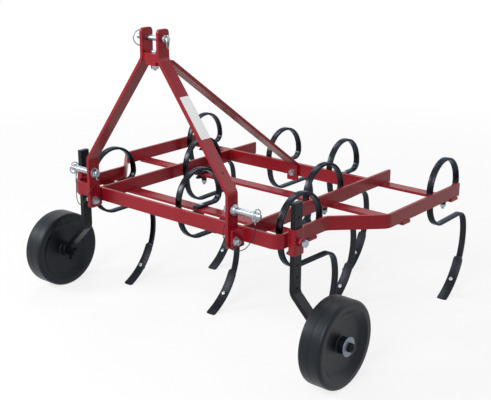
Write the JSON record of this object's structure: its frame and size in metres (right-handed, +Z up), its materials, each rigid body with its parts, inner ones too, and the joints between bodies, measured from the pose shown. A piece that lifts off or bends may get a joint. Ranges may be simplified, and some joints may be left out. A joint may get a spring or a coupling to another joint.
{
  "type": "three-point spring-tine cultivator",
  "caption": "Compact-tractor chisel cultivator: looped spring tines in three rows under a flat-bar frame with an A-frame hitch and two depth wheels.",
  "frame": {"origin": "on the ground on the centre line, midway between the foremost and rearmost points", "axes": "+X to the machine's left, +Y rearwards, +Z up"},
  "size_m": [1.5152, 1.1711, 1.1155],
  "materials": {
    "red_paint": "glossy red enamel on welded flat bar",
    "spring_steel": "black lacquered spring steel with a blue-grey sheen",
    "black_steel": "satin black enamel",
    "zinc_steel": "bright zinc plate",
    "black_rubber": "solid black moulded rubber",
    "black_cable": "black plastic-covered cable"
  },
  "bodies": {
    "frame": {"front_beam": "red_paint", "side_bar_left": "red_paint", "side_bar_right": "red_paint", "inner_bar_left": "red_paint", "inner_bar_right": "red_paint", "rear_beam": "red_paint", "tine_bar_front": "red_paint", "tine_bar_middle": "red_paint", "tine_bar_rear": "red_paint", "headstock_leg_left": "red_paint", "headstock_leg_right": "red_paint", "headstock_spacer": "red_paint", "rear_stay": "red_paint", "wheel_socket_left": "red_paint", "wheel_socket_right": "red_paint", "lug_bolt_left": "zinc_steel", "lower_hitch_pin_left": "zinc_steel", "lower_linch_left": "zinc_steel", "set_bolt_left": "zinc_steel", "lug_bolt_right": "zinc_steel", "lower_hitch_pin_right": "zinc_steel", "lower_linch_right": "zinc_steel", "set_bolt_right": "zinc_steel", "top_link_pin": "zinc_steel", "top_linch": "zinc_steel", "tine_front_left": "spring_steel", "share_front_left": "spring_steel", "clamp_front_left": "black_steel", "tine_front_centre": "spring_steel", "share_front_centre": "spring_steel", "clamp_front_centre": "black_steel", "tine_front_right": "spring_steel", "share_front_right": "spring_steel", "clamp_front_right": "black_steel", "tine_middle_left": "spring_steel", "share_middle_left": "spring_steel", "clamp_middle_left": "black_steel", "tine_middle_right": "spring_steel", "share_middle_right": "spring_steel", "clamp_middle_right": "black_steel", "tine_rear_outer_left": "spring_steel", "share_rear_outer_left": "spring_steel", "clamp_rear_outer_left": "black_steel", "tine_rear_inner_left": "spring_steel", "share_rear_inner_left": "spring_steel", "clamp_rear_inner_left": "black_steel", "tine_rear_inner_right": "spring_steel", "share_rear_inner_right": "spring_steel", "clamp_rear_inner_right": "black_steel", "tine_rear_outer_right": "spring_steel", "share_rear_outer_right": "spring_steel", "clamp_rear_outer_right": "black_steel", "lanyard_left": "black_cable", "lanyard_right": "black_cable"},
    "post_left": {"wheel_post_left": "black_steel", "wheel_axle_left": "zinc_steel"},
    "wheel_left_body": {"wheel_left": "black_rubber"},
    "post_right": {"wheel_post_right": "black_steel", "wheel_axle_right": "zinc_steel"},
    "wheel_right_body": {"wheel_right": "black_rubber"}
  },
  "joints": [
    {"name": "wheel_height_left", "type": "slide", "parent": "frame", "child": "post_left", "axis": [0, 0, 1], "range_m": [-0.041, 0.123]},
    {"name": "wheel_spin_left", "type": "hinge", "parent": "post_left", "child": "wheel_left_body", "pos_m": [0.682, -0.43345, 0.1515], "axis": [1, 0, 0], "continuous": true},
    {"name": "wheel_height_right", "type": "slide", "parent": "frame", "child": "post_right", "axis": [0, 0, 1], "range_m": [-0.041, 0.123]},
    {"name": "wheel_spin_right", "type": "hinge", "parent": "post_right", "child": "wheel_right_body", "pos_m": [-0.682, -0.43345, 0.1515], "axis": [1, 0, 0], "continuous": true}
  ]
}
